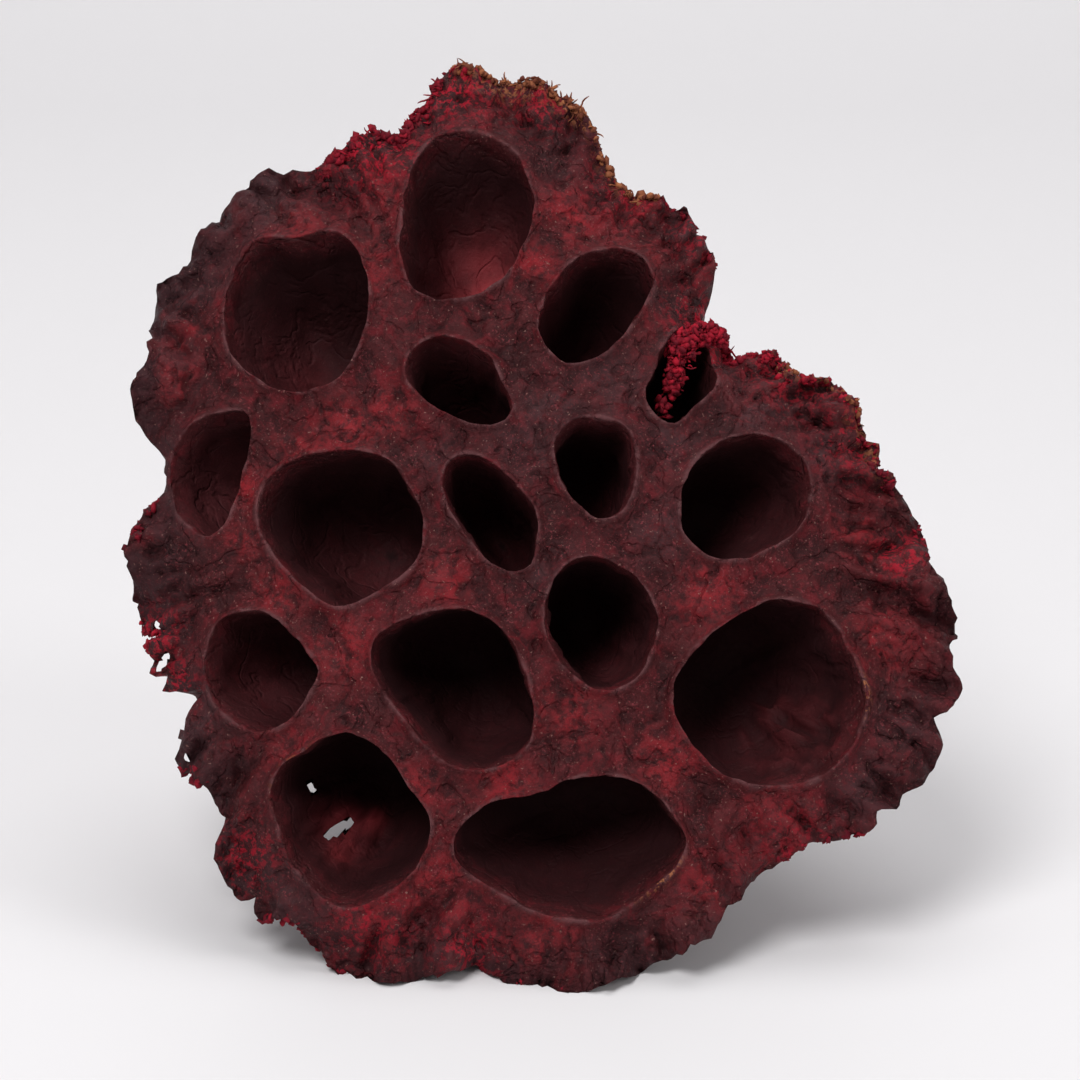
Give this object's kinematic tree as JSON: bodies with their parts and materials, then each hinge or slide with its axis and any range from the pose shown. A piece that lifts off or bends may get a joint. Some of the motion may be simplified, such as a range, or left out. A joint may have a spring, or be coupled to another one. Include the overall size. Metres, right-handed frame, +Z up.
{
  "type": "dried lotus pod",
  "caption": "Dried lotus seed pod dyed burgundy: a ragged round face of empty seed cells on a ribbed cone that narrows to a cut stalk, lying on its rim and stalk.",
  "frame": {"origin": "on the ground, under the middle of the whole pod's box as it lies", "axes": "+Z up; the seed face looks towards -Y and leans back, the stalk runs back and down towards +Y, +X is to the right of someone who looks at the face"},
  "size_m": [0.1052, 0.112, 0.1036],
  "materials": {
    "dyed_pod": "matt dried plant skin dyed dull burgundy, greyer on raised lips and rim"
  },
  "bodies": {
    "root": {"lotus_pod": "dyed_pod"}
  },
  "joints": []
}
